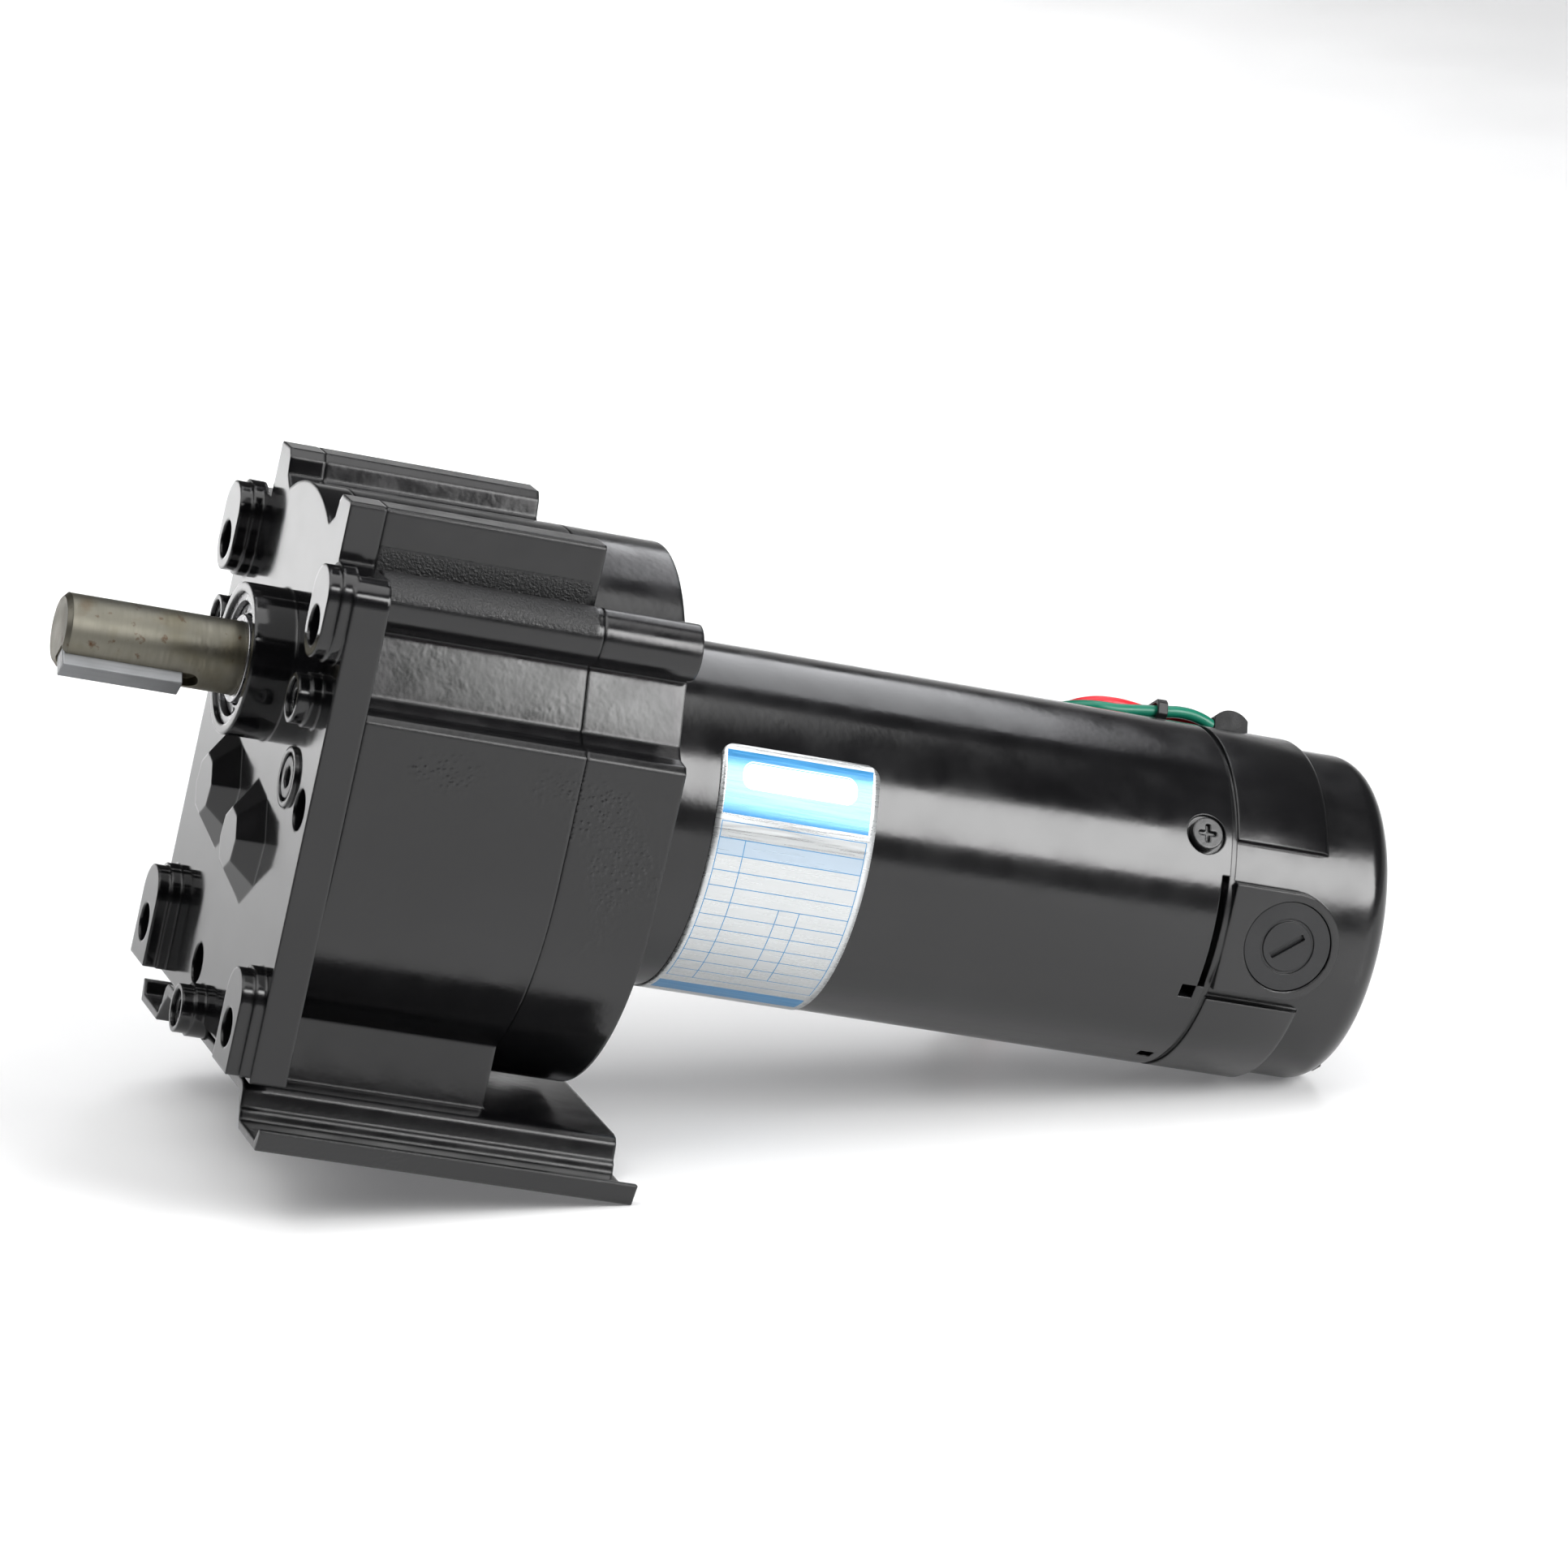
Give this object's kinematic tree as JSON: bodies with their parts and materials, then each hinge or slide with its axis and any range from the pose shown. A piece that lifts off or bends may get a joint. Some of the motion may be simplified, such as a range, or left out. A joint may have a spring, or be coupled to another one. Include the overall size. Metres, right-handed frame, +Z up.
{
  "type": "parallel-shaft gearmotor",
  "caption": "Parallel-shaft DC gearmotor: tubular brushed motor with end cap, spur gearbox with flanged base, face mounting bosses and a keyed output shaft.",
  "frame": {"origin": "at the bottom centre of the overall box, on the mounting plane under the feet", "axes": "+X from the output shaft's end towards the rear of the motor, +Z up from the mounting plane, +Y to the side away from the nameplate"},
  "size_m": [0.2978, 0.122, 0.1335],
  "materials": {
    "case_paint": "gloss black enamel on die-cast aluminium, light orange peel",
    "cover_paint": "gloss black enamel over a machined cover plate",
    "tube_paint": "gloss black enamel on rolled steel tube",
    "cap_paint": "gloss black enamel on die-cast end cap",
    "screw_black": "black painted steel screws",
    "shaft_steel": "ground steel with a dull oil film and small rust spots",
    "key_steel": "drawn bright key steel",
    "bearing_steel": "ground bearing steel",
    "gear_steel": "hobbed gear steel, satin",
    "bush_bronze": "sintered bronze",
    "seal_rubber": "nitrile rubber",
    "core_steel": "stacked electrical steel laminations",
    "winding_enamel": "enamelled copper wire, varnished",
    "commutator_copper": "turned copper bars",
    "magnet_ferrite": "ground ferrite",
    "holder_brass": "drawn brass",
    "brush_carbon": "pressed carbon",
    "spring_steel": "spring wire",
    "cap_plastic": "moulded black phenolic",
    "plate_foil": "printed silver foil label with blue bands",
    "lead_red": "red wire insulation",
    "lead_green": "green wire insulation",
    "lead_black": "black wire insulation",
    "tie_nylon": "black nylon tie"
  },
  "bodies": {
    "housing": {"gear_housing": "case_paint", "output_cover": "cover_paint", "motor_adapter": "case_paint", "cover_screws": "screw_black", "vent_plug": "screw_black", "dowel_pins": "gear_steel", "front_bearing_outer": "bearing_steel", "output_oil_seal": "seal_rubber", "output_rear_bush": "bush_bronze", "second_shaft_bushes": "bush_bronze", "first_shaft_bushes": "bush_bronze", "motor_front_bearing_outer": "bearing_steel", "motor_rear_bearing_outer": "bearing_steel", "motor_tube": "tube_paint", "magnets": "magnet_ferrite", "rear_end_cap": "cap_paint", "end_cap_screws": "screw_black", "through_bolts": "screw_black", "brush_holders": "holder_brass", "carbon_brushes": "brush_carbon", "brush_springs": "spring_steel", "brush_caps": "cap_plastic", "nameplate": "plate_foil", "lead_grommet": "seal_rubber", "lead_red_wire": "lead_red", "lead_green_wire": "lead_green", "lead_black_wire": "lead_black", "lead_tie": "tie_nylon"},
    "output_rotor": {"output_shaft": "shaft_steel", "output_key": "key_steel", "output_gear": "gear_steel", "output_gear_key": "key_steel", "output_snap_rings": "gear_steel", "front_bearing_inner": "bearing_steel"},
    "second_rotor": {"second_gear": "gear_steel", "second_gear_shaft": "gear_steel"},
    "first_rotor": {"first_gear": "gear_steel", "first_gear_shaft": "gear_steel"},
    "armature": {"armature_shaft": "gear_steel", "motor_pinion": "gear_steel", "armature_core": "core_steel", "armature_windings": "winding_enamel", "commutator": "commutator_copper", "motor_front_bearing_inner": "bearing_steel", "motor_rear_bearing_inner": "bearing_steel"},
    "output_ball_set": {"front_bearing_balls": "bearing_steel", "front_bearing_cage": "bearing_steel"},
    "motor_front_ball_set": {"motor_front_bearing_balls": "bearing_steel"},
    "motor_rear_ball_set": {"motor_rear_bearing_balls": "bearing_steel"}
  },
  "joints": [
    {"name": "output_spin", "type": "hinge", "parent": "housing", "child": "output_rotor", "pos_m": [-0.106, 0, 0.0908], "axis": [1, 0, 0], "continuous": true},
    {"name": "second_spin", "type": "hinge", "parent": "housing", "child": "second_rotor", "pos_m": [-0.0979, 0.01978, 0.05894], "axis": [1, 0, 0], "continuous": true},
    {"name": "first_spin", "type": "hinge", "parent": "housing", "child": "first_rotor", "pos_m": [-0.0979, -0.00984, 0.05422], "axis": [1, 0, 0], "continuous": true},
    {"name": "armature_spin", "type": "hinge", "parent": "housing", "child": "armature", "pos_m": [-0.0239, 0, 0.073], "axis": [1, 0, 0], "continuous": true},
    {"name": "output_cage_spin", "type": "hinge", "parent": "housing", "child": "output_ball_set", "pos_m": [-0.106, 0, 0.0908], "axis": [1, 0, 0], "continuous": true},
    {"name": "motor_front_cage_spin", "type": "hinge", "parent": "housing", "child": "motor_front_ball_set", "pos_m": [-0.0239, 0, 0.073], "axis": [1, 0, 0], "continuous": true},
    {"name": "motor_rear_cage_spin", "type": "hinge", "parent": "housing", "child": "motor_rear_ball_set", "pos_m": [0.1409, 0, 0.073], "axis": [1, 0, 0], "continuous": true}
  ],
  "couplings": [
    {"joint": "second_spin", "follows": "output_spin", "ratio": -4},
    {"joint": "first_spin", "follows": "output_spin", "ratio": 17.818},
    {"joint": "armature_spin", "follows": "output_spin", "ratio": -76.618},
    {"joint": "output_cage_spin", "follows": "output_spin", "ratio": 0.41324},
    {"joint": "motor_front_cage_spin", "follows": "output_spin", "ratio": -29.626},
    {"joint": "motor_rear_cage_spin", "follows": "output_spin", "ratio": -29.626}
  ]
}
